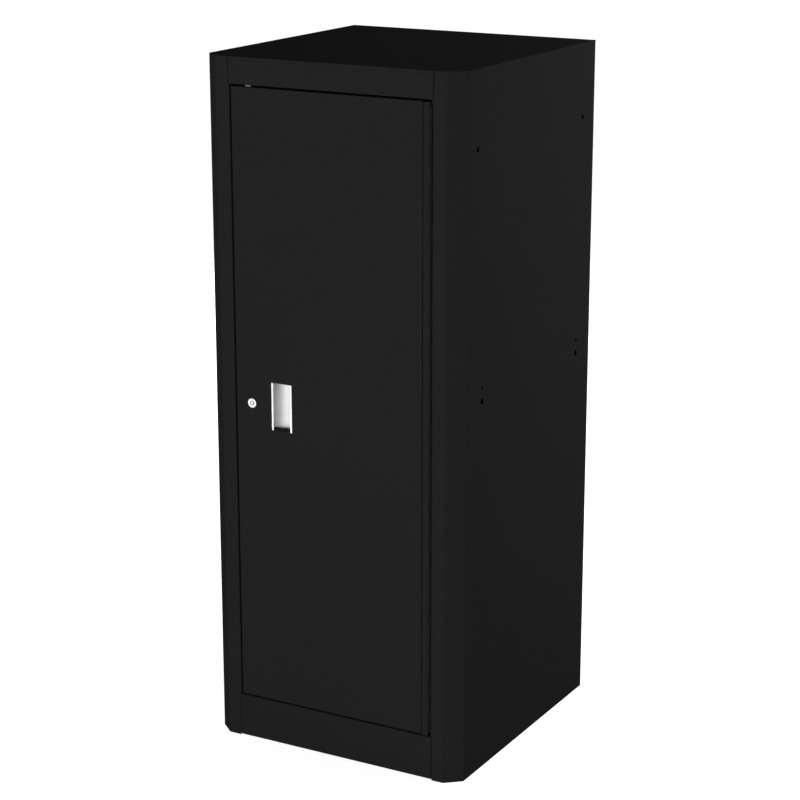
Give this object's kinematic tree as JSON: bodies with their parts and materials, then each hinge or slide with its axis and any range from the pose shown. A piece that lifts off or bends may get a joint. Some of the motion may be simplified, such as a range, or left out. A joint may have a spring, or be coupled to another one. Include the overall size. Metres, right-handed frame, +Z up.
{
  "type": "tool chest side locker",
  "caption": "Tall tool chest side locker with one hinged door, a recessed pull, a tubular key lock that drives lock rods, and shelves inside.",
  "frame": {"origin": "middle of the base, half way between the lock's face and the back", "axes": "+Z up, the door faces -Y, +X to the hinge side"},
  "size_m": [0.4506, 0.4646, 1.118],
  "materials": {
    "black_paint": "satin black powder coat",
    "zinc": "zinc plated",
    "rubber": "matt",
    "black_plastic": "moulded",
    "bright_aluminium": "bright satin anodised",
    "chrome": "nickel chrome"
  },
  "bodies": {
    "cabinet": {"left_side_panel": "black_paint", "right_side_panel": "black_paint", "back_panel": "black_paint", "top_panel": "black_paint", "header_rail": "black_paint", "kick_rail": "black_paint", "floor_pan": "black_paint", "left_front_standard": "zinc", "left_rear_standard": "zinc", "right_front_standard": "zinc", "right_rear_standard": "zinc", "lower_shelf": "black_paint", "middle_shelf": "black_paint", "upper_shelf": "black_paint", "lower_shelf_clips": "zinc", "middle_shelf_clips": "zinc", "upper_shelf_clips": "zinc", "hinge_frame_leaf": "black_paint", "hinge_pin": "zinc", "hinge_rivets": "zinc", "door_bumpers": "rubber", "magnet_catch": "black_plastic", "catch_screws": "zinc"},
    "door": {"door_skin": "black_paint", "door_inner_panel": "black_paint", "door_stiffener": "black_paint", "hinge_door_leaf": "black_paint", "pull_trough": "bright_aluminium", "pull_end_caps": "black_plastic", "pull_clips": "zinc", "lock_housing": "chrome", "lock_nut": "zinc", "upper_rod_guide": "black_plastic", "lower_rod_guide": "black_plastic", "strike_plate": "zinc"},
    "lock_core": {"lock_plug": "chrome", "lock_cam": "zinc", "cam_screw": "zinc"},
    "upper_rod": {"upper_lock_rod": "zinc"},
    "lower_rod": {"lower_lock_rod": "zinc"}
  },
  "joints": [
    {"name": "door_hinge", "type": "hinge", "parent": "cabinet", "child": "door", "pos_m": [0.17375, -0.22865, 0.5737], "axis": [0, 0, 1], "range_deg": [0, 135]},
    {"name": "upper_rod_slide", "type": "slide", "parent": "door", "child": "upper_rod", "axis": [0, 0, 1], "range_m": [0, 0.01696]},
    {"name": "lower_rod_slide", "type": "slide", "parent": "door", "child": "lower_rod", "axis": [0, 0, -1], "range_m": [0, 0.017]},
    {"name": "key_turn", "type": "hinge", "parent": "door", "child": "lock_core", "pos_m": [-0.14355, -0.2252, 0.5753], "axis": [0, -1, 0], "range_deg": [0, 90]}
  ],
  "couplings": [
    {"joint": "lower_rod_slide", "follows": "upper_rod_slide", "ratio": 1},
    {"joint": "key_turn", "follows": "upper_rod_slide", "rad_per_m": 92.6}
  ]
}
